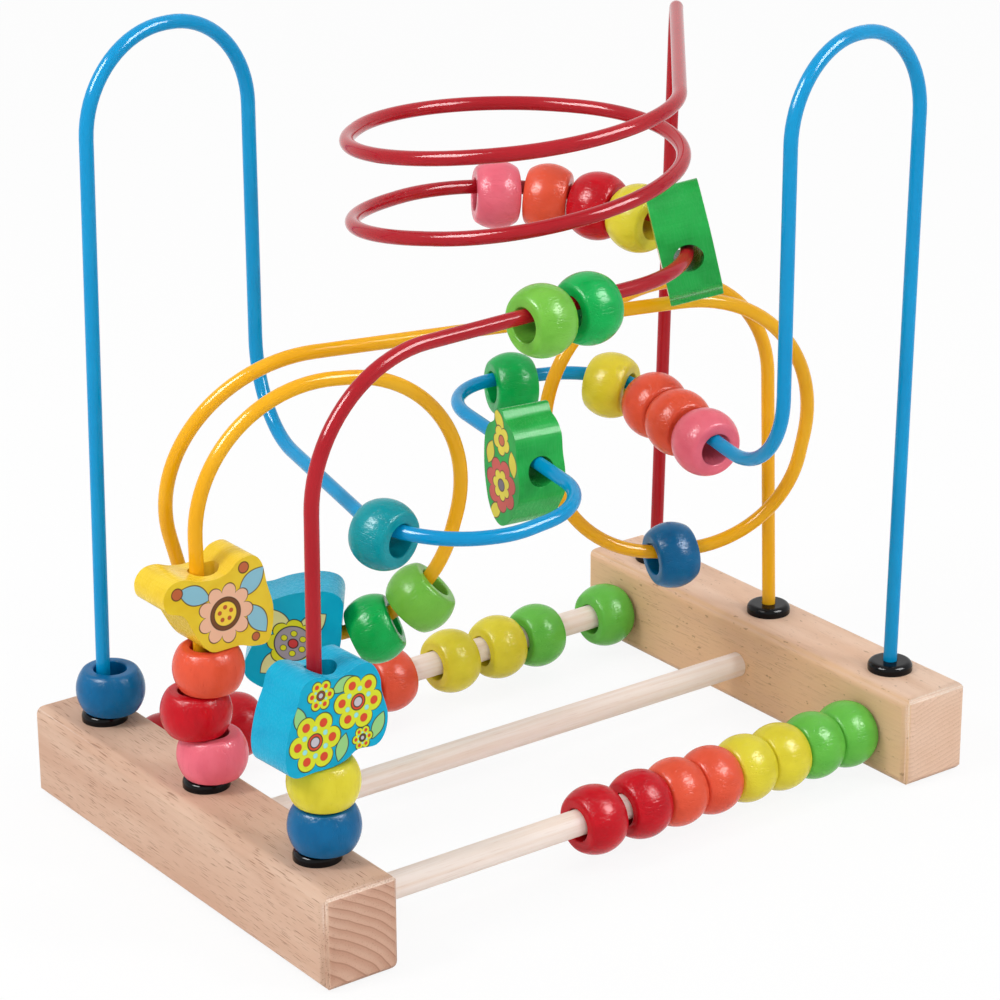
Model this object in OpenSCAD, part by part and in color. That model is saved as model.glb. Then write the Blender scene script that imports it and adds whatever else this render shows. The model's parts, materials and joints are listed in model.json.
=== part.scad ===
// Wooden bead maze: two beech beams tied by three dowels, three bent wires, beads and shaped blocks.
// X runs along the dowels, Y along the beams and Z up; the origin lies under the middle of the base.

/* [Beams] */
// Length of each beam, along Y
beam_len = 161; // [150:1:190]
// Width of each beam, along X
beam_w = 25.6; // [22:0.2:30]
// Height of each beam
beam_h = 30; // [26:1:36]
// Distance between the centre lines of the two beams
beam_spacing = 215; // [209:1:219]
// Radius that eases every edge of the beams
beam_edge = 2; // [1:0.5:5]

/* [Dowels] */
// Diameter of the three dowels
dowel_d = 8; // [6:0.5:9]
// Height of the dowel centres above the table
dowel_z = 14.5; // [12:0.5:17]
// Distance from a beam's end to the outer dowels
dowel_inset = 20.5; // [17:0.5:26]
// Depth of the blind sockets that take the dowel ends
socket_depth = 11; // [6:1:16]

/* [Wires] */
// Diameter of the coated wires
wire_d = 4.3; // [3.4:0.1:4.6]
// Distance from a beam's end to the outer wire holes
foot_inset = 22.5; // [19:0.5:26]
// Wood left between a wire hole and the dowel socket under it
foot_floor = 1.5; // [1:0.5:4]
// Radius of the two turns of the red spiral
coil_r = 48; // [44:0.5:49]
// Climb of the red spiral over one full turn
coil_pitch = 24; // [20:1:28]

/* [Collars] */
// Diameter of the black collar round each wire foot
collar_d = 14; // [12:0.5:18]
// Height of the collar above the beam
collar_h = 3; // [2:0.5:5]
// Radius of the collar's rounded shoulder
collar_edge = 1.6; // [0.5:0.1:1.8]

/* [Beads] */
// Largest diameter of a bead
bead_d = 21; // [19:0.5:22]
// Length of a bead along its bore
bead_len = 13.4; // [11:0.1:13.8]
// Diameter of the bore through a bead
bead_bore = 10; // [9.2:0.2:11]
// Radius that rounds the two ends of a bead
bead_rim = 1.8; // [1:0.1:2.2]

/* [Blocks] */
// Width of a winged block across its bore
wing_w = 36; // [32:1:38]
// Height of a winged block along its bore
wing_h = 28; // [24:1:30]
// Width of a leaf-shaped block across its bore
leaf_w = 37; // [33:1:39]
// Length of a leaf-shaped block along its bore
leaf_h = 21; // [18:1:24]
// Thickness of the blocks
block_t = 16; // [13:0.5:18]
// Diameter of the bore through a block
block_bore = 9; // [8.2:0.2:10]

/* [Fits] */
// Radial play of the glued dowels and wire feet in their holes
glue_gap = 0.05; // [0.02:0.01:0.15]
// Radial play of the wires in their collars
collar_gap = 0.15; // [0.05:0.05:0.3]
// Gap that a loose piece keeps to what it rests on
seat_gap = 0.25; // [0.1:0.05:0.4]

/* [Hidden] */
$fn = 48;
eps = 0.01;

beech = [0.86, 0.70, 0.55];
birch = [0.91, 0.82, 0.71];
black = [0.06, 0.06, 0.07];
wire_blue = [0.02, 0.55, 0.82];
wire_yellow = [0.95, 0.72, 0.08];
wire_red = [0.78, 0.13, 0.17];
red = [0.88, 0.12, 0.16];
orange = [0.95, 0.36, 0.20];
yellow = [0.91, 0.89, 0.18];
green = [0.31, 0.74, 0.26];
light_green = [0.53, 0.79, 0.20];
deep_green = [0.03, 0.62, 0.25];
pink = [0.95, 0.42, 0.53];
dark_blue = [0.05, 0.42, 0.68];
teal = [0.03, 0.60, 0.63];
block_yellow = [0.97, 0.82, 0.17];
block_blue = [0.06, 0.64, 0.82];
block_green = [0.06, 0.50, 0.17];

// Where the beams' inner faces, dowel sockets and wire holes are
foot_x = beam_spacing / 2;
beam_inner = beam_spacing / 2 - beam_w / 2;
dowel_pitch = beam_len / 2 - dowel_inset;
foot_pitch = beam_len / 2 - foot_inset;
foot_depth = beam_h - (dowel_z + dowel_d / 2 + glue_gap + foot_floor);
collar_top = beam_h + collar_h;

// Routes of the wires: corners chosen by hand as [x, y, z, bend radius], from the left foot to the right
foot_bend = 60;
foot_rise = 2;
function foot_up(x, y) = [[x, y, beam_h - foot_depth, 0], [x, y, collar_top + foot_rise, foot_bend]];
function foot_down(x, y) = [[x, y, collar_top + foot_rise, foot_bend], [x, y, beam_h - foot_depth, 0]];

blue_route = concat(foot_up(-foot_x, foot_pitch), [
    [-106, 54, 240, 29],
    [-47, 62, 240, 29],
    [-47, 62, 112, 28],
    [-64, -37, 105, 32],
    [-31, -48, 105, 34],
    [-2, -48, 108, 20],
    [10, 54, 113, 22],
    [70, 35, 112, 26],
    [55, -64, 104, 26],
    [55, -64, 236, 28],
    [113, -56, 236, 28]
], foot_down(foot_x, -foot_pitch));

yellow_route = concat(foot_up(-foot_x, 0), [
    [-108, 1, 151, 41],
    [-13, -15, 143, 40],
    [-35, -4, 53, 44],
    [-88, 35, 65, 28],
    [-116, 24, 150, 44],
    [105, -32, 151, 48],
    [99, -14, 62, 36],
    [40, 13, 60, 36],
    [16, 21, 142, 42],
    [105, 2, 150, 36]
], foot_down(foot_x, 0));

// The red spiral: straights touch a ring round coil_mid, and each corner between is a share of two turns,
// which lean a little to the left and level out as they climb
coil_mid = [1.5, -4];
coil_in = [-107, -59];
coil_out = [111, 56];
coil_in_z = 172;
coil_out_z = 222;
coil_z = 174;
coil_tilt = [0.06, -0.08];
coil_level = 0.009;
coil_lean = -0.5;
coil_corners = 8;
coil_slack = 1;
in_way = coil_mid - coil_in;
out_way = coil_out - coil_mid;
in_heading = atan2(in_way[1], in_way[0]) - asin(coil_r / norm(in_way));
out_heading = atan2(out_way[1], out_way[0]) + asin(coil_r / norm(out_way));
coil_turn = (out_heading - in_heading + 720) / coil_corners;
function coil_corner(k) =
    let (a = in_heading + (k + 0.5) * coil_turn - 90,
         out = coil_r / cos(coil_turn / 2) * [cos(a), sin(a)],
         slope = coil_tilt + [0, coil_level * k],
         climb = coil_z + coil_pitch * k * coil_turn / 360 + slope * out)
    [coil_mid[0] + coil_lean * (k - 6) + out[0], coil_mid[1] + out[1],
     k == 0 ? coil_in_z : climb, coil_r - coil_slack];

red_route = concat(foot_up(-foot_x, -foot_pitch),
    [[coil_in[0], coil_in[1], coil_in_z, 40]],
    [for (k = [0 : coil_corners - 1]) coil_corner(k)],
    [[coil_out[0], coil_out[1], coil_out_z, 14]],
    foot_down(foot_x, foot_pitch));

// Geometry of a route: straights between its corners, and an arc at each corner
function unit(v) = v / norm(v);
function at(p, k) = [p[k][0], p[k][1], p[k][2]];
function heading(p, k) = unit(at(p, k + 1) - at(p, k));
function turn(p, k) = acos(heading(p, k - 1) * heading(p, k));
function cut(p, k) = k == 0 || k == len(p) - 1 ? 0 : p[k][3] * tan(turn(p, k) / 2);
function run(p, k) = norm(at(p, k + 1) - at(p, k)) - cut(p, k) - cut(p, k + 1);
function bend_axis(p, k) = unit(cross(heading(p, k - 1), heading(p, k)));
function inward(p, k) = cross(bend_axis(p, k), heading(p, k - 1));
function bend_start(p, k) = at(p, k) - heading(p, k - 1) * cut(p, k);
function bend_mid(p, k) = bend_start(p, k) + inward(p, k) * p[k][3];

// Stations on a route, as [point, direction, way to the bend's centre, bend radius]
function on_run(p, k, s) = [at(p, k) + heading(p, k) * (cut(p, k) + s), heading(p, k), [0, 0, 0], 1e6];
function on_bend(p, k, a) =
    [bend_mid(p, k) + p[k][3] * (heading(p, k - 1) * sin(a) - inward(p, k) * cos(a)),
     heading(p, k - 1) * cos(a) + inward(p, k) * sin(a),
     inward(p, k) * cos(a) - heading(p, k - 1) * sin(a),
     p[k][3]];

// Height along a leg's straight at which a piece of length len sits above the collar and under bead count n
function stacked(p, n, len) =
    on_run(p, 1, collar_top + seat_gap + n * (bead_len + seat_gap) + len / 2
        - (bend_start(p, 1)[2] + 2 * cut(p, 1)));

// Least gap of the red spiral to itself, measured on points along its turns
coil_points = [for (k = [4 : coil_corners + 2], a = [0 : 8 : turn(red_route, k)])
    on_bend(red_route, k, a)[0]];
coil_far = round(300 / 8);
coil_last = len(coil_points) - 1;
coil_gap = min([for (i = [0 : coil_last - coil_far], j = [i + coil_far : coil_last])
    norm(coil_points[i] - coil_points[j])]) - wire_d;
echo(least_gap_of_the_spiral = coil_gap);

// Frame with Z along d and X along side, as far as that is square to d
module frame(point, d, side) {
    x = unit(side - d * (side * d));
    y = cross(d, x);
    multmatrix([
        [x[0], y[0], d[0], point[0]],
        [x[1], y[1], d[1], point[1]],
        [x[2], y[2], d[2], point[2]]
    ]) children();
}

// A wire along a route: full arcs, and straights a hair thinner that reach into the arcs
straight_thin = 0.04;
straight_lap = 0.3;
module bent_wire(p) {
    last = len(p) - 1;
    for (k = [0 : last - 1]) {
        lap_a = k == 0 ? 0 : straight_lap;
        lap_b = k == last - 1 ? 0 : straight_lap;
        frame(on_run(p, k, -lap_a)[0], heading(p, k), inward(p, max(k, 1)) + bend_axis(p, max(k, 1)))
            cylinder(d = wire_d - straight_thin, h = run(p, k) + lap_a + lap_b);
    }
    for (k = [1 : last - 1])
        frame(bend_mid(p, k), bend_axis(p, k), -inward(p, k))
            rotate_extrude(angle = turn(p, k))
                translate([p[k][3], 0])
                    circle(d = wire_d);
}

// Places a piece on a wire: it leans or hangs by drop towards side, turns by yaw about side within
// its play, and moves in by half of the bow
module threaded(station, drop, side = [0, 0, -1], len = 0, yaw = 0) {
    bow = len * len / 16 / station[3];
    frame(station[0] + station[2] * bow, station[1], side)
        translate([drop, 0, 0])
            rotate([yaw, 0, 0])
                children();
}

// How far a bead drops until its bore rests on the wire, whose bow inside the bore may point any way
bead_room = bead_bore / 2 - wire_d / 2 - seat_gap;
function bead_drop(station) =
    let (bow = bead_len * bead_len / 8 / station[3],
         down = unit([0, 0, -1] + station[1] * station[1][2]),
         along = bow * (station[2] * down))
    min(bead_room, along + sqrt(along * along + bead_room * bead_room - bow * bow));
dowel_drop = bead_bore / 2 - dowel_d / 2 - seat_gap;
lean = [0.8, -0.6, 0];

// Section of a bead: a ball's belt between two flat ends with rounded rims, less the bore
rim_z = bead_len / 2 - bead_rim;
rim_x = sqrt(pow(bead_d / 2 - bead_rim, 2) - rim_z * rim_z);
belt = rim_z * bead_d / (bead_d - 2 * bead_rim);
rim_step = 0.03;
module bead(paint) {
    color(paint)
        rotate_extrude()
            difference() {
                union() {
                    intersection() {
                        circle(d = bead_d);
                        square([2 * bead_d, 2 * belt], center = true);
                    }
                    square([2 * rim_x, bead_len - 4 * rim_step], center = true);
                    for (side = [-1, 1])
                        translate([rim_x, side * rim_z])
                            circle(r = bead_rim - rim_step);
                }
                translate([-2 * bead_d, -bead_len])
                    square([2 * bead_d + bead_bore / 2, 2 * bead_len]);
            }
}

// Outlines of the blocks: hand-set points round each, as shares of half its width and height
lobe_points = [[-0.86, 0.82], [-1, 0.58], [-0.95, 0.26], [-0.66, 0.08], [-0.5, -0.28], [-0.34, -0.64],
    [-0.16, -0.86], [0.1, -0.88], [0.36, -0.88], [0.58, -0.97], [0.86, -0.98], [0.97, -0.7], [1, -0.2],
    [0.9, 0.3], [0.82, 0.78], [0.66, 1], [0.4, 0.97], [0.18, 0.76], [-0.1, 0.7], [-0.36, 0.75],
    [-0.62, 0.86]];
fan_points = [[-0.5, 1], [-0.68, 0.86], [-0.76, 0.55], [-0.9, 0.15], [-1, -0.4], [-0.97, -0.8],
    [-0.8, -0.98], [-0.46, -0.98], [-0.12, -1], [0.14, -0.94], [0.36, -0.8], [0.72, -0.84], [0.9, -0.6],
    [0.94, -0.2], [0.83, 0.28], [0.8, 0.6], [0.65, 0.92], [0.44, 1], [0.24, 0.94], [0.05, 0.86],
    [-0.14, 0.88], [-0.32, 0.98]];
leaf_points = [[-1, 0.1], [-0.9, 0.45], [-0.74, 0.5], [-0.6, 0.82], [-0.35, 1], [0.1, 1], [0.45, 0.88],
    [0.75, 0.68], [0.95, 0.35], [1, -0.05], [0.85, -0.47], [0.62, -0.74], [0.35, -1], [0, -0.98],
    [-0.3, -0.82], [-0.6, -0.72], [-0.77, -0.45], [-0.86, -0.12]];
// A smooth closed curve through points, in four steps between each two
curve_steps = 4;
function curve(a, b, c, d, t) =
    b + t / 2 * (c - a + t * (2 * a - 5 * b + 4 * c - d + t * (3 * (b - c) + d - a)));
function smooth(points) =
    let (n = len(points))
    [for (i = [0 : n - 1], s = [0 : curve_steps - 1])
        curve(points[(i + n - 1) % n], points[i], points[(i + 1) % n], points[(i + 2) % n], s / curve_steps)];
module outline(points, w, h) {
    polygon([for (q = smooth(points)) [q[0] * w / 2, q[1] * h / 2]]);
}

// A block: its outline stands along the bore, which runs through the middle of its thickness, and in a
// leaf-shaped one a little off the middle of its width
leaf_bore_off = 1;
module block(paint) {
    color(paint)
        difference() {
            rotate([90, 0, 0])
                translate([0, 0, -block_t / 2])
                    linear_extrude(block_t)
                        children();
            translate([0, 0, -wing_h])
                cylinder(d = block_bore, h = 2 * wing_h);
        }
}
module winged_block(paint, points) {
    block(paint)
        outline(points, wing_w, wing_h);
}
module leaf_block() {
    block(block_green)
        translate([leaf_bore_off, 0])
            outline(leaf_points, leaf_w, leaf_h);
}

// A bar of w by h whose long edges are eased
module eased_bar(w, h, len) {
    linear_extrude(len, center = true)
        hull()
            for (x = [-1, 1], y = [-1, 1])
                translate([x * (w / 2 - beam_edge), y * (h / 2 - beam_edge)])
                    circle(r = beam_edge, $fn = 32);
}

// A beam with eased edges, three dowel sockets in its inner face and three wire holes in its top
module beam(side) {
    color(beech)
        difference() {
            translate([side * foot_x, 0, beam_h / 2])
                intersection() {
                    eased_bar(beam_w, beam_len, beam_h);
                    rotate([90, 0, 0])
                        eased_bar(beam_w, beam_h, beam_len);
                    rotate([90, 0, 90])
                        eased_bar(beam_len, beam_h, beam_w);
                }
            for (row = [-1, 0, 1]) {
                translate([side * (beam_inner + socket_depth), row * dowel_pitch, dowel_z])
                    rotate([0, -side * 90, 0])
                        cylinder(d = dowel_d + 2 * glue_gap, h = 2 * socket_depth);
                translate([side * foot_x, row * foot_pitch, beam_h - foot_depth])
                    cylinder(d = wire_d + 2 * glue_gap, h = 2 * foot_depth);
            }
        }
}

// A dowel that ends just short of the bottom of its sockets
dowel_end_gap = 0.2;
module dowel(row) {
    half = beam_inner + socket_depth - dowel_end_gap;
    color(birch)
        translate([-half, row * dowel_pitch, dowel_z])
            rotate([0, 90, 0])
                cylinder(d = dowel_d, h = 2 * half);
}

// A collar: a low round button with a rounded shoulder and a hole for the wire
module collar(side, row) {
    color(black)
        translate([side * foot_x, row * foot_pitch, beam_h])
            rotate_extrude()
                difference() {
                    union() {
                        square([collar_d / 2, collar_h - collar_edge]);
                        square([collar_d / 2 - collar_edge, collar_h]);
                        translate([collar_d / 2 - collar_edge, collar_h - collar_edge])
                            circle(r = collar_edge - rim_step);
                    }
                    translate([-eps, -eps])
                        square([wire_d / 2 + collar_gap + eps, 2 * collar_h]);
                    translate([0, -collar_h])
                        square([collar_d, collar_h]);
                }
}

// Rows of beads on the outer dowels, by their colours from left to right
row_paint = [red, red, orange, orange, yellow, yellow, green, green];
front_gap = 3.5;
function front_x(i) = beam_inner - seat_gap - bead_len / 2 - (7 - i) * (bead_len + seat_gap)
    - (i == 0 ? front_gap : 0);
back_x = [-86, -60, -17, -2, 23, 42, 58, 87];
module row_bead(x, row, i) {
    threaded([[x, row * dowel_pitch, dowel_z], [1, 0, 0], [0, 0, 0], 1e6], dowel_drop)
        bead(row_paint[i]);
}

// A bead that hangs on a wire, and one that stands in a stack on a leg
module hung_bead(station, paint, yaw = 0) {
    threaded(station, sqrt(pow(bead_drop(station), 2) - pow(bead_len / 2 * sin(yaw), 2)), yaw = yaw)
        bead(paint);
}
module stood_bead(p, n, paint, way) {
    threaded(stacked(p, n, bead_len), 0.8 * bead_room, way)
        bead(paint);
}

// Blocks on bends take half of the bow, so that the wire clears both ends of their bore; the lobed one
// stands on the part of its foot that is round the bore
block_drop = block_bore / 2 - wire_d / 2 - seat_gap;
lobe_foot = 0.89;

module blue_wire() { color(wire_blue) bent_wire(blue_route); }
module yellow_wire() { color(wire_yellow) bent_wire(yellow_route); }
module red_wire() { color(wire_red) bent_wire(red_route); }

module blue_bead_1() { stood_bead(blue_route, 0, dark_blue, lean); }
module blue_bead_2() { hung_bead(on_bend(blue_route, 5, 23), teal); }
module blue_block() {
    threaded(on_run(blue_route, 7, 23), block_drop)
        leaf_block();
}
module blue_bead_3() { hung_bead(on_run(blue_route, 8, 2), deep_green); }
module blue_bead_4() { hung_bead(on_bend(blue_route, 9, 46), yellow); }
module blue_bead_5() { hung_bead(on_run(blue_route, 9, 4.5), orange); }
module blue_bead_6() { hung_bead(on_run(blue_route, 9, 19), orange); }
module blue_bead_7() { hung_bead(on_run(blue_route, 9, 35), pink); }

module yellow_bead_1() { stood_bead(yellow_route, 0, pink, lean); }
module yellow_bead_2() { stood_bead(yellow_route, 1, red, -lean); }
module yellow_bead_3() { stood_bead(yellow_route, 2, orange, lean); }
module yellow_block_1() {
    threaded(stacked(yellow_route, 3, lobe_foot * wing_h), block_drop, [1, 0, 0])
        winged_block(block_yellow, lobe_points);
}
module yellow_bead_4() { hung_bead(on_bend(yellow_route, 4, 29), light_green); }
module yellow_bead_5() { hung_bead(on_bend(yellow_route, 4, 50), deep_green); }
module yellow_block_2() {
    threaded(on_bend(yellow_route, 4, 81), 0.4 * block_drop, len = wing_h)
        winged_block(block_blue, fan_points);
}
module yellow_bead_6() { hung_bead(on_bend(yellow_route, 9, -3), dark_blue, -10); }

module red_bead_1() { stood_bead(red_route, 0, dark_blue, lean); }
module red_bead_2() { stood_bead(red_route, 1, yellow, lean); }
module red_block_1() {
    threaded(stacked(red_route, 2, wing_h), block_drop, [1, 0.06, 0])
        winged_block(block_blue, fan_points);
}
module red_bead_3() { hung_bead(on_run(red_route, 2, 41), light_green); }
module red_bead_4() { hung_bead(on_run(red_route, 2, 58), deep_green); }
module red_block_2() {
    threaded(on_bend(red_route, 3, 53), -block_drop / 2, [-0.2, 0.14, 1], leaf_h)
        leaf_block();
}
module red_bead_5() { hung_bead(on_bend(red_route, 3, 93), yellow); }
module red_bead_6() { hung_bead(on_bend(red_route, 4, 13), red); }
module red_bead_7() { hung_bead(on_bend(red_route, 4, 32.6), orange); }
module red_bead_8() { hung_bead(on_bend(red_route, 4, 52.2), pink); }

beam(-1);  // left_beam
beam(1);  // right_beam
dowel(-1);  // front_dowel
dowel(0);  // middle_dowel
dowel(1);  // back_dowel
collar(-1, -1);  // collar_left_front
collar(-1, 0);  // collar_left_middle
collar(-1, 1);  // collar_left_back
collar(1, -1);  // collar_right_front
collar(1, 0);  // collar_right_middle
collar(1, 1);  // collar_right_back
blue_wire();
yellow_wire();
red_wire();
for (i = [0 : 7]) {
    row_bead(front_x(i), -1, i);
    row_bead(back_x[i], 1, i);
}
blue_bead_1();
blue_bead_2();
blue_block();
blue_bead_3();
blue_bead_4();
blue_bead_5();
blue_bead_6();
blue_bead_7();
yellow_bead_1();
yellow_bead_2();
yellow_bead_3();
yellow_block_1();
yellow_bead_4();
yellow_bead_5();
yellow_block_2();
yellow_bead_6();
red_bead_1();
red_bead_2();
red_block_1();
red_bead_3();
red_bead_4();
red_block_2();
red_bead_5();
red_bead_6();
red_bead_7();
red_bead_8();
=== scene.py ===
# A wooden bead maze: two beech beams tied by dowels, three bent wires, beads and printed blocks.
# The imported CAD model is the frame; every value is in metres unless its name or comment says millimetres.
import json
import math

import bmesh
import bpy
import numpy as np
from mathutils import Matrix, Quaternion, Vector


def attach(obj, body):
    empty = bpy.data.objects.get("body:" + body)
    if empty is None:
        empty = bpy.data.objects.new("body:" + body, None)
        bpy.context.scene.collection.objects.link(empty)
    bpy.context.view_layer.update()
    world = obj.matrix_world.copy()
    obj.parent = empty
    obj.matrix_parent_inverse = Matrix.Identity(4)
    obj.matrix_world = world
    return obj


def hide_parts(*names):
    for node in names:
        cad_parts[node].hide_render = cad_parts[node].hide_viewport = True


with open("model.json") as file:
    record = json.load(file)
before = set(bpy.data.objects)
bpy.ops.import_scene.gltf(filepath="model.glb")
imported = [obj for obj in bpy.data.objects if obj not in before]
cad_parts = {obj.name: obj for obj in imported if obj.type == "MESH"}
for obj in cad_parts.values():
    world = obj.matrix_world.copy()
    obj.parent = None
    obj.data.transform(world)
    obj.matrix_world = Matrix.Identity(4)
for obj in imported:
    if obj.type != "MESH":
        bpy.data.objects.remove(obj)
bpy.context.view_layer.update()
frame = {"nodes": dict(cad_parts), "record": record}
nodes = frame["nodes"]
slot_of = {s["node"]: s["material_slot"] for s in frame["record"]["subparts"]}


# Beams
# Two bars of steamed beech, sawn, with every edge eased by a cutter and a thin matt lacquer. The toy
# stands on them; the dowels and the wires' feet are glued into blind holes.
class Shade:
    """An output socket of a material's nodes. Arithmetic on it adds Math nodes."""

    def __init__(self, tree, socket=None):
        self.tree = tree
        self.socket = socket

    def node(self, kind, settings, sockets, out=0):
        """Adds a node: its settings first, then its sockets' values or links; returns one output."""
        made = self.tree.nodes.new("ShaderNode" + kind)
        for name, value in settings.items():
            setattr(made, name, value)
        for name, value in sockets.items():
            if isinstance(value, Shade):
                self.tree.links.new(value.socket, made.inputs[name])
            else:
                made.inputs[name].default_value = value
        return Shade(self.tree, made.outputs[out] if made.outputs else None)

    def math(self, operation, *values):
        return self.node("Math", {"operation": operation}, dict(enumerate(values)))

    def __add__(self, other):
        return self.math("ADD", self, other)

    def __sub__(self, other):
        return self.math("SUBTRACT", self, other)

    def __rsub__(self, other):
        return self.math("SUBTRACT", other, self)

    def __mul__(self, other):
        return self.math("MULTIPLY", self, other)

    def __truediv__(self, other):
        return self.math("DIVIDE", self, other)

    def __pow__(self, other):
        return self.math("POWER", self, other)

    def __abs__(self):
        return self.math("ABSOLUTE", self)

    __radd__ = __add__
    __rmul__ = __mul__

    def over(self, start, end):
        """0 where the value is at start, 1 where it is at end, with a soft step between."""
        return self.node(
            "MapRange",
            {"interpolation_type": "SMOOTHSTEP"},
            {"Value": self, "From Min": start, "From Max": end},
        )


def srgb(red, green, blue):
    """A colour as a screen shows it, 0 to 255, as the linear colour that a shader takes."""
    shares = [v / 255 for v in (red, green, blue)]
    return [v / 12.92 if v <= 0.04045 else ((v + 0.055) / 1.055) ** 2.4 for v in shares] + [1]


def blend_colour(mask, under, over):
    """under where the mask is 0, over where it is 1."""
    shade = mask if isinstance(mask, Shade) else over
    return shade.node("Mix", {"data_type": "RGBA"}, {0: mask, 6: under, 7: over}, out=2)


def new_finish(name):
    """An empty material, the maker of its nodes, and a point of the surface in millimetres."""
    material = bpy.data.materials.new(name)
    material.use_nodes = True
    material.node_tree.nodes.clear()
    shade = Shade(material.node_tree)
    place = shade.node("TexCoord", {}, {}, out="Object")
    return material, shade, shade.node("VectorMath", {"operation": "SCALE"}, {0: place, "Scale": 1000})


def noise(shade, place, cell, detail=2.0, rough=0.5, seed=0.0):
    """Noise from 0 to 1 whose cells are about cell = (x, y, z) millimetres."""
    scaled = shade.node("VectorMath", {"operation": "DIVIDE"}, {0: place, 1: cell})
    return shade.node(
        "TexNoise",
        {"noise_dimensions": "4D"},
        {"Vector": scaled, "W": seed, "Scale": 1.0, "Detail": detail, "Roughness": rough},
    )


def close_finish(shade, colour, roughness, height, lift_mm, **sockets):
    """Ends a material in a Principled shader whose bump has that height, 0 to 1, times lift_mm."""
    bump = shade.node("Bump", {}, {"Strength": 1.0, "Distance": lift_mm / 1000, "Height": height})
    values = {"Base Color": colour, "Roughness": roughness, "Normal": bump}
    values.update({name.replace("_", " "): value for name, value in sockets.items()})
    skin = shade.node("BsdfPrincipled", {}, values)
    shade.node("OutputMaterial", {}, {"Surface": skin})


def axes(shade, vector):
    return [shade.node("SeparateXYZ", {}, {0: vector}, out=i) for i in range(3)]


# The radius of the beams' edges in CAD and as worn, the gap that welds two points of a mesh, and how alike
# (the cosine of their angle) two faces are that shade as one.
beam_edge = 0.002
worn_edge = 0.0036
weld_gap = 1e-6
alike = 0.4
beam_gloss = 0.15
beam_relief_mm = 0.12


def area_normals(mesh):
    """Smooth normals in which wide faces outweigh narrow ones: flats stay flat beside a rounding."""
    around = [[] for _ in mesh.vertices]
    for face in mesh.polygons:
        face.use_smooth = True
        for vertex in face.vertices:
            around[vertex].append(face)
    corners = []
    for face in mesh.polygons:
        for vertex in face.vertices:
            near = [f.normal * f.area for f in around[vertex] if f.normal.dot(face.normal) > alike]
            corners.append(sum(near, Vector()).normalized())
    mesh.normals_split_custom_set(corners)


def planed_mesh(node):
    """The CAD beam's mesh, with its edges worn rounder and its corners rounded as balls. Points that are
    deeper than its skin belong to the holes and stay."""
    planed = bmesh.new()
    planed.from_mesh(nodes[node].data)
    bmesh.ops.remove_doubles(planed, verts=planed.verts, dist=weld_gap)
    points = np.array([v.co for v in planed.verts])
    low, high = points.min(axis=0), points.max(axis=0)
    skin = beam_edge * 0.99
    for vert in planed.verts:
        out = vert.co - Vector(np.clip(vert.co, low + beam_edge, high - beam_edge))
        if out.length > skin:
            inner = Vector(np.clip(vert.co, low + worn_edge, high - worn_edge))
            vert.co = inner + out.normalized() * worn_edge
    mesh = bpy.data.meshes.new(node + "_planed")
    planed.to_mesh(mesh)
    planed.free()
    area_normals(mesh)
    return mesh


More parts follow.
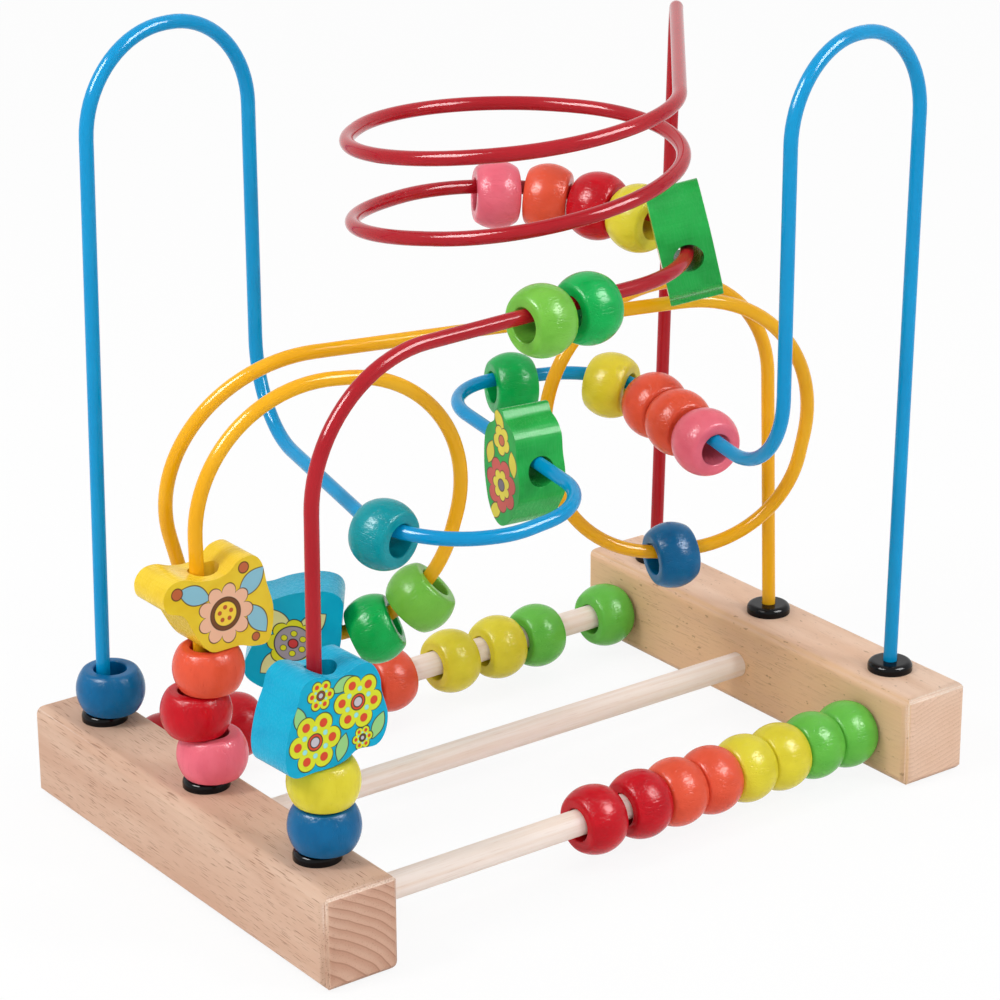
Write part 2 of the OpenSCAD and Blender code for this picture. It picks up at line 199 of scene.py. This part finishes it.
def beech_finish(name, heart, crowding, tone, ring_depth, knots):
    """Beech with its grain along Y. heart is the pith's place (x, z) in mm, and the rings crowd as they
    get away from it. ring_depth is how plain they show on the ends, knots how plain the dark specks are
    on the sides. tone holds the colours; inner is for the face towards the other beam, which inner_way
    says is on +X or -X, and dashes is how plain the short dark rays are."""
    material, shade, place = new_finish(name)
    x, _, z = axes(shade, place)
    facing = axes(shade, shade.node("TexCoord", {}, {}, out="Normal"))
    end_grain = abs(facing[1]).over(0.55, 0.8)
    eased_end = abs(facing[1]).over(0.05, 0.3) * (1 - end_grain) * facing[2].over(0.1, 0.5)

    wander = noise(shade, place, (16, 90, 16), seed=1) - 0.5
    from_heart = shade.math("SQRT", (x - heart[0]) ** 2 + (z - heart[1]) ** 2) + wander * 3
    ring = shade.math("FRACT", from_heart**2 * crowding)
    late_wood = ring.over(0.15, 0.9)
    ring_line = ring.over(0.82, 0.93) * (1 - ring.over(0.95, 1.0))

    cloud = noise(shade, place, (10, 60, 10), detail=3, seed=2).over(0.3, 0.7)
    body = blend_colour(cloud, tone["pale"], tone["warm"])
    inner_side = (facing[0] * tone["inner_way"]).over(0.4, 0.9)
    body = blend_colour(inner_side, body, blend_colour(0.55 + cloud * 0.45, tone["warm"], tone["inner"]))
    body = blend_colour(end_grain * 0.6, body, tone["end"])
    body = blend_colour(late_wood * (0.06 + end_grain * ring_depth), body, tone["ring"])
    body = blend_colour(ring_line * end_grain * ring_depth, body, tone["fleck"])

    dash = noise(shade, place, (0.3, 7, 0.3), detail=1, seed=3).over(0.6, 0.68)
    thin_out = noise(shade, place, (9, 30, 9), detail=1, seed=4).over(0.2, 0.55)
    dash = dash * thin_out * (1 - end_grain)
    body = blend_colour(dash * tone["dashes"], body, tone["fleck"])
    fibre = noise(shade, place, (0.4, 14, 0.4), detail=3, seed=5)
    body = blend_colour((fibre - 0.4) * 0.35, body, tone["warm"])
    pore = noise(shade, place, (0.5, 0.5, 0.5), detail=2, seed=6)
    body = blend_colour(end_grain * pore.over(0.55, 0.72) * 0.3, body, tone["fleck"])
    speck = noise(shade, place, (1.5, 3.5, 1.5), detail=2, rough=0.6, seed=7).over(0.63, 0.7) * knots
    body = blend_colour(speck * (1 - end_grain), body, tone["fleck"])
    scuff_and_highlight = noise(shade, place, (0.5, 1.2, 1.0), detail=2, seed=8).over(0.68, 0.76)
    # The ends' upward eased edges are painted paler, in the same colour as the scuffs: a painted highlight,
    # partly real wear.
    painted_edge_highlight = eased_end * (0.2 + pore.over(0.35, 0.65) * 0.5)
    body = blend_colour(painted_edge_highlight + scuff_and_highlight * end_grain * ring_depth * 0.5, body, tone["scuff_and_highlight"])

    roughness = 0.46 + fibre * 0.12 + end_grain * 0.15
    height = fibre * 0.5 - dash * 0.6 - end_grain * pore * 0.5
    close_finish(shade, body, roughness, height, beam_relief_mm, Specular_IOR_Level=beam_gloss)
    return material


# The pale colour of the real scuffs on the end grain also paints the highlight on the ends' upper eased
# edges.
left_tone = {
    "pale": srgb(219, 185, 161),
    "warm": srgb(207, 167, 142),
    "inner": srgb(207, 167, 142),
    "inner_way": 1,
    "dashes": 0.7,
    "end": srgb(206, 162, 140),
    "ring": srgb(176, 122, 98),
    "fleck": srgb(138, 90, 64),
    "scuff_and_highlight": srgb(246, 226, 212),
}
right_tone = {
    "pale": srgb(238, 206, 182),
    "warm": srgb(226, 187, 158),
    "inner": srgb(232, 190, 148),
    "inner_way": -1,
    "dashes": 0.16,
    "end": srgb(230, 194, 170),
    "ring": srgb(196, 150, 120),
    "fleck": srgb(134, 88, 54),
    "scuff_and_highlight": srgb(248, 232, 218),
}
beech_boards = {
    "left_beam": beech_finish(
        "beech_left", heart=(-134, -22), crowding=0.0038, tone=left_tone, ring_depth=0.4, knots=0.0
    ),
    "right_beam": beech_finish(
        "beech_right", heart=(137, -132), crowding=0.0022, tone=right_tone, ring_depth=0.12, knots=0.45
    ),
}
for node, board in beech_boards.items():
    beam = bpy.data.objects.new(node + "_planed", planed_mesh(node))
    bpy.context.scene.collection.objects.link(beam)
    beam.data.materials.append(board)
    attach(beam, "frame")
    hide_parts(node)


# Dowels
# Three turned birch rods, paler than the beams and left plain, so that the counting beads slide on
# them. Both ends are glued into the beams.
dowel_gloss = 0.08


def birch_finish():
    material, shade, place = new_finish("birch")
    streak = noise(shade, place, (60, 1.4, 1.4), detail=3, seed=11)
    line = noise(shade, place, (9, 0.35, 0.35), detail=2, seed=12)
    colour = blend_colour(streak.over(0.3, 0.75), srgb(250, 237, 229), srgb(241, 221, 206))
    colour = blend_colour(line.over(0.58, 0.75) * 0.3, colour, srgb(202, 164, 138))
    roughness = 0.48 + line * 0.15
    close_finish(shade, colour, roughness, line, lift_mm=0.06, Specular_IOR_Level=dowel_gloss)
    return material


def dress(node, finish):
    """Gives a piece that is shown as its CAD solid its finish."""
    nodes[node].data.materials.clear()
    nodes[node].data.materials.append(finish)


birch = birch_finish()
for row in ("front", "middle", "back"):
    dress(row + "_dowel", birch)


# Collars
# Six moulded buttons of glossy black rubber, pushed down each wire's foot to hide its hole. They lie on
# the beams and stay there.
collar_gloss = 0.16


def collar_finish():
    material, shade, place = new_finish("collar_rubber")
    mould = noise(shade, place, (2.5, 2.5, 2.5), detail=3, seed=21)
    colour = blend_colour(mould, srgb(6, 6, 8), srgb(14, 14, 17))
    roughness = 0.08 + mould * 0.1
    close_finish(shade, colour, roughness, mould, lift_mm=0.05, Specular_IOR_Level=collar_gloss)
    return material


collar_rubber = collar_finish()
for node, slot in slot_of.items():
    if slot == "collar":
        dress(node, collar_rubber)


# Wires
# Three steel wires in a coloured plastic coat, bent on a jig into arches, loops and a spiral, with
# both feet glued into the beams. The coat is glossy and a little uneven along its length.
coat_gloss = 0.2


def coat_finish(name, colour, worn):
    """A wire's coat; worn is its colour where it is thin."""
    material, shade, place = new_finish(name)
    drift = noise(shade, place, (26, 26, 26), detail=2, seed=31)
    skin = noise(shade, place, (2.2, 2.2, 2.2), detail=3, seed=32)
    body = blend_colour(drift.over(0.35, 0.75) * 0.6, colour, worn)
    roughness = 0.1 + skin * 0.06
    height = skin * 0.35 + drift
    close_finish(shade, body, roughness, height, lift_mm=0.03, Specular_IOR_Level=coat_gloss)
    return material


wire_coats = {
    "blue_wire": (srgb(0, 146, 204), srgb(10, 158, 214)),
    "yellow_wire": (srgb(240, 172, 16), srgb(248, 190, 44)),
    "red_wire": (srgb(170, 20, 32), srgb(184, 34, 44)),
}
for wire, coats in wire_coats.items():
    dress(wire, coat_finish(wire + "_coat", *coats))


# Beads
# Turned wooden beads: a ball cut flat at both ends, with rounded rims and a wide bore, dipped in
# coloured lacquer. The wood's pores show as fine pits in the gloss.
bead_radius = 0.0105
bead_length = 0.0134
bore_radius = 0.005
rim_radius = 0.0018
mouth_radius = 0.0005
turn_steps = 72
lacquer_gloss = 0.16


def arc(middle, radius, start, end, steps):
    """Points (r, z) of an arc, angles in degrees from the r axis."""
    angles = [math.radians(start + (end - start) * i / steps) for i in range(steps + 1)]
    return [(middle[0] + radius * math.cos(a), middle[1] + radius * math.sin(a)) for a in angles]


def bead_section():
    """Half of a bead's section (r, z), from the middle of its bore round to its belt, then mirrored."""
    half = bead_length / 2
    rim_z = half - rim_radius
    rim_r = math.sqrt((bead_radius - rim_radius) ** 2 - rim_z**2)
    belt = math.degrees(math.atan2(rim_z, rim_r))
    mouth = (bore_radius + mouth_radius, half - mouth_radius)
    upper = [(bore_radius, half * share) for share in (0, 0.4, 0.8)]
    upper += arc(mouth, mouth_radius, 180, 90, 5)
    upper += [(rim_r * share + mouth[0] * (1 - share), half) for share in (0.3, 0.7)]
    upper += arc((rim_r, rim_z), rim_radius, 90, belt, 8)
    upper += arc((0, 0), bead_radius, belt, 0, 10)[1:]
    return upper + [(r, -z) for r, z in reversed(upper[1:-1])]


def bead_mesh():
    section = bead_section()
    turned = bmesh.new()
    rings = []
    for step in range(turn_steps):
        a = 2 * math.pi * step / turn_steps
        rings.append([turned.verts.new((r * math.cos(a), r * math.sin(a), z)) for r, z in section])
    for ring, after in zip(rings, rings[1:] + rings[:1]):
        for i in range(len(section)):
            j = (i + 1) % len(section)
            turned.faces.new((ring[i], ring[j], after[j], after[i])).smooth = True
    bmesh.ops.recalc_face_normals(turned, faces=turned.faces)
    mesh = bpy.data.meshes.new("bead")
    turned.to_mesh(mesh)
    turned.free()
    return mesh


def spread(points, direction):
    """Lowest and highest place of points along a direction."""
    along = points @ direction
    return along.min(), along.max()


def frame_of(points, x, y, z):
    """A matrix with those axes at the middle of the points' box along them."""
    middle = sum(np.array(d) * sum(spread(points, d)) / 2 for d in (x, y, z))
    matrix = Matrix((x, y, z)).transposed().to_4x4()
    matrix.translation = Vector(middle)
    return matrix


def turned_frame(node):
    """The place of a turned CAD solid: its middle, with Z along its bore."""
    points = np.array([v.co for v in nodes[node].data.vertices])
    spreads, directions = np.linalg.eigh(np.cov(points.T))
    odd_one = 0 if spreads[1] - spreads[0] > spreads[2] - spreads[1] else 2
    z = directions[:, odd_one]
    x = np.cross(z, directions[:, 1])
    return frame_of(points, x, np.cross(z, x), z)


def lacquer_finish(name, colour, shadow):
    """Lacquer over turned wood; shadow is its colour where it pooled in the grain."""
    material, shade, place = new_finish(name)
    own = shade.node("ObjectInfo", {}, {}, out="Random") * 50
    pooled = noise(shade, place, (5, 5, 9), detail=2, seed=own)
    pit = noise(shade, place, (0.45, 0.45, 2.6), detail=2, rough=0.6, seed=own + 3)
    dip = noise(shade, place, (1.6, 1.6, 2.4), detail=1, seed=own + 7)
    body = blend_colour(pooled.over(0.35, 0.8) * 0.6, colour, shadow)
    body = blend_colour(pit.over(0.62, 0.75) * 0.3, body, shadow)
    height = dip * 0.7 - pit.over(0.5, 0.75) * 0.6
    roughness = 0.14 + pit * 0.14
    close_finish(shade, body, roughness, height, lift_mm=0.11, Specular_IOR_Level=lacquer_gloss)
    return material


lacquers = {
    "paint_red": (srgb(198, 14, 30), srgb(172, 8, 24)),
    "paint_orange": (srgb(230, 88, 60), srgb(210, 70, 44)),
    "paint_yellow": (srgb(226, 212, 56), srgb(206, 190, 36)),
    "paint_green": (srgb(104, 190, 72), srgb(82, 170, 56)),
    "paint_light_green": (srgb(120, 192, 70), srgb(98, 174, 50)),
    "paint_deep_green": (srgb(8, 176, 82), srgb(4, 152, 66)),
    "paint_pink": (srgb(236, 110, 128), srgb(220, 88, 108)),
    "paint_dark_blue": (srgb(2, 100, 152), srgb(0, 82, 130)),
    "paint_teal": (srgb(6, 150, 160), srgb(2, 128, 140)),
}
lacquer_of = {slot: lacquer_finish("lacquer_" + slot, *tones) for slot, tones in lacquers.items()}
turned_bead = bead_mesh()
for node, slot in slot_of.items():
    if slot in lacquer_of:
        bead = bpy.data.objects.new(node + "_turned", turned_bead.copy())
        bpy.context.scene.collection.objects.link(bead)
        bead.data.materials.append(lacquer_of[slot])
        bead.matrix_world = turned_frame(node)
        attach(bead, node)
        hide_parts(node)


# Blocks
# Five blocks sawn to an outline from thick board, bored for the wire and painted all over. Both broad
# faces carry a simple printed flower design with thin dark outlines.
edge_ease = 0.0007
paint_gloss = 0.14
flat_angle = math.radians(1)
sharp_angle = math.radians(50)


def block_frame(node):
    """The place of a block: Y along its thickness and away from the front, Z along its bore, X across.
    The walls of the bore are the faces that look neither along the thickness nor right across it."""
    across, along = 0.2, 0.9
    back_share = 0.3
    mesh = nodes[node].data
    broad = {}
    for face in mesh.polygons:
        key = tuple(round(v, 2) for v in face.normal)
        broad[key] = broad.get(key, 0) + face.area
    y = np.array(Vector(max(broad, key=broad.get)).normalized())
    y = y if y[1] > 0 else -y
    spread_of_bore = np.zeros((3, 3))
    for face in mesh.polygons:
        normal = np.array(face.normal)
        if across < abs(normal @ y) < along:
            spread_of_bore += face.area * np.outer(normal, normal)
    z = np.linalg.eigh(spread_of_bore)[1][:, 0]
    z = z if z[2] + back_share * z[1] > 0 else -z
    x = np.cross(y, z)
    x /= np.linalg.norm(x)
    points = np.array([v.co for v in mesh.vertices])
    return frame_of(points, x, y, np.cross(x, y))


def block_mesh(node, place):
    """The CAD solid's mesh in its own frame, with its flat faces whole again and its edges eased."""
    sawn = bmesh.new()
    sawn.from_mesh(nodes[node].data)
    sawn.transform(place.inverted())
    bmesh.ops.remove_doubles(sawn, verts=sawn.verts, dist=weld_gap)
    bmesh.ops.dissolve_limit(sawn, angle_limit=flat_angle, verts=sawn.verts, edges=sawn.edges)
    sharp = [e for e in sawn.edges if e.is_manifold and e.calc_face_angle() > sharp_angle]
    bmesh.ops.bevel(
        sawn, geom=sharp, offset=edge_ease, segments=3, profile=0.5, affect="EDGES", clamp_overlap=True
    )
    mesh = bpy.data.meshes.new(node + "_sawn")
    sawn.to_mesh(mesh)
    sawn.free()
    area_normals(mesh)
    return mesh


class Print:
    """A printed face: shapes in millimetres from its middle, laid over a block's paint. line is the width
    of the ink round a shape, soft how far its edge blurs."""

    line = 0.35
    soft = 0.12

    def __init__(self, x, z, colour, ink):
        self.x, self.z, self.colour, self.ink = x, z, colour, ink

    def polar(self, middle):
        across, up = self.x - middle[0], self.z - middle[1]
        return across.math("SQRT", across**2 + up**2), across.math("ARCTAN2", up, across)

    def lay(self, inside, fill, line=None):
        """Inks the edge of a shape and fills it; inside is the way in from its edge, in mm."""
        edge = (inside + (self.line if line is None else line)).over(-self.soft, self.soft)
        self.colour = blend_colour(edge, self.colour, self.ink)
        self.colour = blend_colour(inside.over(-self.soft, self.soft), self.colour, fill)

    def disc(self, middle, radius, fill, line=None):
        away, _ = self.polar(middle)
        self.lay(radius - away, fill, line)

    def flower(self, middle, radius, petals, depth, turn, fill):
        """A flower of round petals; depth is how deep the notches between them are."""
        away, angle = self.polar(middle)
        wave = abs(angle.math("COSINE", angle * (petals / 2) + math.radians(turn)))
        self.lay(radius * ((1 - depth) + wave ** 0.6 * depth) - away, fill)

    def leaf(self, middle, length, width, turn, fill):
        """A pointed oval, turned by turn degrees."""
        across, up = self.x - middle[0], self.z - middle[1]
        cos, sin = math.cos(math.radians(turn)), math.sin(math.radians(turn))
        along = (across * cos + up * sin) / (length / 2)
        side = abs(up * cos - across * sin)
        self.lay((1 - along**2) * (width / 2) - side, fill)

    def ring_of_dots(self, middle, radius, count, turn, size, fill, line=0.0):
        for i in range(count):
            a = math.radians(turn + 360 * i / count)
            dot = (middle[0] + radius * math.cos(a), middle[1] + radius * math.sin(a))
            self.disc(dot, size, fill, line)


def daisy_print(face):
    """A round daisy between blue leaves, for the yellow block."""
    for x, z, turn in ((12.5, -5.5, -60), (-8, 6.5, 155), (11, 6, 40)):
        face.leaf((x, z), 11, 5.6, turn, srgb(142, 196, 216))
    heart = (2, -1.5)
    face.flower(heart, radius=9, petals=9, depth=0.3, turn=10, fill=srgb(244, 190, 160))
    face.disc(heart, 4.8, srgb(120, 74, 46))
    face.disc(heart, 3.6, srgb(250, 212, 70))
    face.ring_of_dots(heart, radius=2, count=5, turn=20, size=0.65, fill=srgb(196, 90, 50))
    for x, z, size in ((-13.6, 8.2, 1.6), (11.8, -11, 1.1), (8.6, 11, 1.5)):
        face.disc((x, z), size, srgb(196, 104, 66))


def meadow_print(face):
    """Four flowers of different sizes with dotted petals, for the front blue block."""
    leaf_green, petal = srgb(150, 205, 130), srgb(214, 220, 44)
    dot, ice = srgb(214, 72, 44), srgb(150, 222, 214)
    for x, z, turn in ((1.5, -9, 70), (-12.5, 3, 100), (2.2, 9.6, 20), (14, -6, 60)):
        face.leaf((x, z), 8, 3.8, turn, leaf_green)
    for middle, size, turn in (
        ((-7.6, -4.8), 8.6, 0),
        ((7.2, 3), 8.2, 30),
        ((-5.4, 8.4), 4.4, 15),
        ((8.6, -8.2), 3.4, 0),
    ):
        face.flower(middle, size, petals=6, depth=0.32, turn=turn, fill=petal)
        face.ring_of_dots(middle, size * 0.68, 6, -turn / 3, size * 0.15, dot)
        face.ring_of_dots(middle, size * 0.47, 6, 30 - turn / 3, size * 0.09, ice)
        face.disc(middle, size * 0.27, dot)
        face.disc(middle, size * 0.16, srgb(196, 190, 198))


def clover_print(face):
    """Cream clover leaves round a grey and yellow rosette, for the hanging blue block."""
    for turn in (45, 135, 225, 315):
        a = math.radians(turn)
        face.leaf((9 * math.cos(a), 7 * math.sin(a)), 11, 5.8, turn, srgb(206, 212, 150))
    face.flower((0, 0), radius=7.6, petals=8, depth=0.2, turn=0, fill=srgb(206, 210, 40))
    face.disc((0, 0), 5.4, srgb(150, 146, 156))
    face.ring_of_dots((0, 0), radius=3.2, count=6, turn=0, size=0.85, fill=srgb(206, 210, 40), line=0.2)
    face.disc((0, 0), 1.3, srgb(190, 60, 60))


def blossom_print(face):
    """A red blossom beside a smaller yellow one, with leaves between, for the green blocks."""
    for x, z, turn in ((14.6, 3, 50), (-14.6, 2, 140), (-3, 6.8, 15), (-3.4, -6.4, 165)):
        face.leaf((x, z), 8, 4.2, turn, srgb(226, 214, 70))
    red_heart, yellow_heart = (5.4, 0), (-8.8, 0.4)
    face.flower(red_heart, radius=8.4, petals=7, depth=0.28, turn=20, fill=srgb(208, 92, 84))
    face.flower(red_heart, radius=4.8, petals=7, depth=0.3, turn=45, fill=srgb(232, 218, 74))
    face.disc(red_heart, 1.7, srgb(120, 112, 124))
    face.flower(yellow_heart, radius=4.6, petals=5, depth=0.3, turn=0, fill=srgb(232, 218, 74))
    face.disc(yellow_heart, 1.5, srgb(206, 110, 74))


def block_finish(name, paint, shadow, design, ink):
    material, shade, place = new_finish(name)
    x, _, z = axes(shade, place)
    facing = axes(shade, shade.node("TexCoord", {}, {}, out="Normal"))[1]
    printed = abs(facing).over(0.93, 0.99)
    pooled = noise(shade, place, (8, 8, 5), detail=2, seed=41)
    grain = noise(shade, place, (7, 0.5, 0.9), detail=3, rough=0.6, seed=42)
    saw = noise(shade, place, (0.8, 14, 0.8), detail=2, seed=43)
    body = blend_colour(pooled.over(0.35, 0.8) * 0.55, paint, shadow)
    body = blend_colour(saw.over(0.55, 0.8) * (1 - printed) * 0.45, body, shadow)
    face = Print(x, z, body, ink)
    design(face)
    colour = blend_colour(printed, body, face.colour)
    height = saw * (1 - printed) * 0.8 + grain * 0.25
    roughness = 0.2 + grain * 0.14 - printed * 0.04
    close_finish(shade, colour, roughness, height, lift_mm=0.1, Specular_IOR_Level=paint_gloss)
    return material


yellow_tones = (srgb(240, 206, 54), srgb(228, 184, 28))
blue_tones = (srgb(2, 170, 206), srgb(0, 148, 190))
green_tones = (srgb(40, 176, 78), srgb(20, 140, 52))
block_designs = {
    "yellow_block_1": (yellow_tones, daisy_print, srgb(96, 62, 40)),
    "yellow_block_2": (blue_tones, clover_print, srgb(30, 34, 36)),
    "red_block_1": (blue_tones, meadow_print, srgb(52, 60, 44)),
    "blue_block": (green_tones, blossom_print, srgb(96, 62, 46)),
    "red_block_2": (green_tones, blossom_print, srgb(96, 62, 46)),
}
for node, (tones, design, ink) in block_designs.items():
    place = block_frame(node)
    block = bpy.data.objects.new(node + "_sawn", block_mesh(node, place))
    bpy.context.scene.collection.objects.link(block)
    block.data.materials.append(block_finish(node + "_paint", *tones, design, ink))
    block.matrix_world = place
    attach(block, node)
    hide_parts(node)


# Studio
# A white table and backdrop, and a long lens at the photograph's angle. Two soft boxes light the toy, and a
# wide card round each shows only as a reflection in gloss.
view_azimuth = math.radians(-36.503)
view_elevation = math.radians(20.966)
view_roll = math.radians(-0.246)
view_distance = 0.947127
view_aim = Vector((-0.046036, -0.060855, 0.122835))
sensor = 36.0
focal_pixels = 3413
frame_pixels = 1000

back = Vector((
    math.sin(view_azimuth) * math.cos(view_elevation),
    -math.cos(view_azimuth) * math.cos(view_elevation),
    math.sin(view_elevation),
))
lens = bpy.data.cameras.new("camera")
lens.sensor_width = sensor
lens.lens = sensor * focal_pixels / frame_pixels
camera = bpy.data.objects.new("camera", lens)
camera.rotation_mode = "QUATERNION"
camera.location = view_aim + back * view_distance
camera.rotation_quaternion = (-back).to_track_quat("-Z", "Y") @ Quaternion((0, 0, 1), view_roll)
bpy.context.scene.collection.objects.link(camera)
bpy.context.scene.camera = camera

lamp_aim = Vector((0, 0, 0.12))
lamp_distance = 1.2
from_left, from_right = Vector((-0.705, 0.05, 0.70)), Vector((0.38, -0.65, 0.67))
for name, direction, watts, size, only_gloss in (
    ("left_box", from_left, 4.6, 0.24, False),
    ("right_box", from_right, 2.8, 0.22, False),
    ("left_card", from_left, 38, 0.6, True),
    ("right_card", from_right, 34, 0.6, True),
):
    box = bpy.data.lights.new(name, "AREA")
    box.shape = "SQUARE"
    box.size = size
    box.energy = watts
    lamp = bpy.data.objects.new(name, box)
    lamp.location = lamp_aim + direction.normalized() * lamp_distance
    lamp.rotation_mode = "QUATERNION"
    lamp.rotation_quaternion = (lamp_aim - lamp.location).to_track_quat("-Z", "Y")
    lamp.visible_diffuse = not only_gloss
    bpy.context.scene.collection.objects.link(lamp)


def seen_directly(shade):
    """1 for rays that show the background itself: from the camera, off gloss or through glass."""
    kinds = [
        shade.node("LightPath", {}, {}, out=kind)
        for kind in ("Is Camera Ray", "Is Glossy Ray", "Is Transmission Ray")
    ]
    return shade.math("MAXIMUM", shade.math("MAXIMUM", kinds[0], kinds[1]), kinds[2])


paper_white = (1, 1, 1, 1)
room_light = 0.77
table_grey = (0.9, 0.9, 0.9, 1)
table_white_share = 0.9
table_radius = 6.0

room = bpy.data.worlds.new("studio")
room.use_nodes = True
room.node_tree.nodes.clear()
air = Shade(room.node_tree)
dim_light = air.node("Background", {}, {"Color": paper_white, "Strength": room_light})
white_wall = air.node("Background", {}, {"Color": paper_white, "Strength": 1.0})
wall = air.node("MixShader", {}, {0: seen_directly(air), 1: dim_light, 2: white_wall})
air.node("OutputWorld", {}, {"Surface": wall})
bpy.context.scene.world = room

table_material = bpy.data.materials.new("white_table")
table_material.use_nodes = True
table_material.node_tree.nodes.clear()
top = Shade(table_material.node_tree)
lit = top.node("BsdfDiffuse", {}, {"Color": table_grey})
white = top.node("Emission", {}, {"Color": paper_white, "Strength": 1.0})
shown = top.node("MixShader", {}, {0: seen_directly(top) * table_white_share, 1: lit, 2: white})
top.node("OutputMaterial", {}, {"Surface": shown})
round_top = bmesh.new()
bmesh.ops.create_circle(round_top, cap_ends=True, segments=96, radius=table_radius)
table_mesh = bpy.data.meshes.new("table")
round_top.to_mesh(table_mesh)
round_top.free()
table = bpy.data.objects.new("table", table_mesh)
table.data.materials.append(table_material)
bpy.context.scene.collection.objects.link(table)

bpy.context.scene.view_settings.view_transform = "Standard"
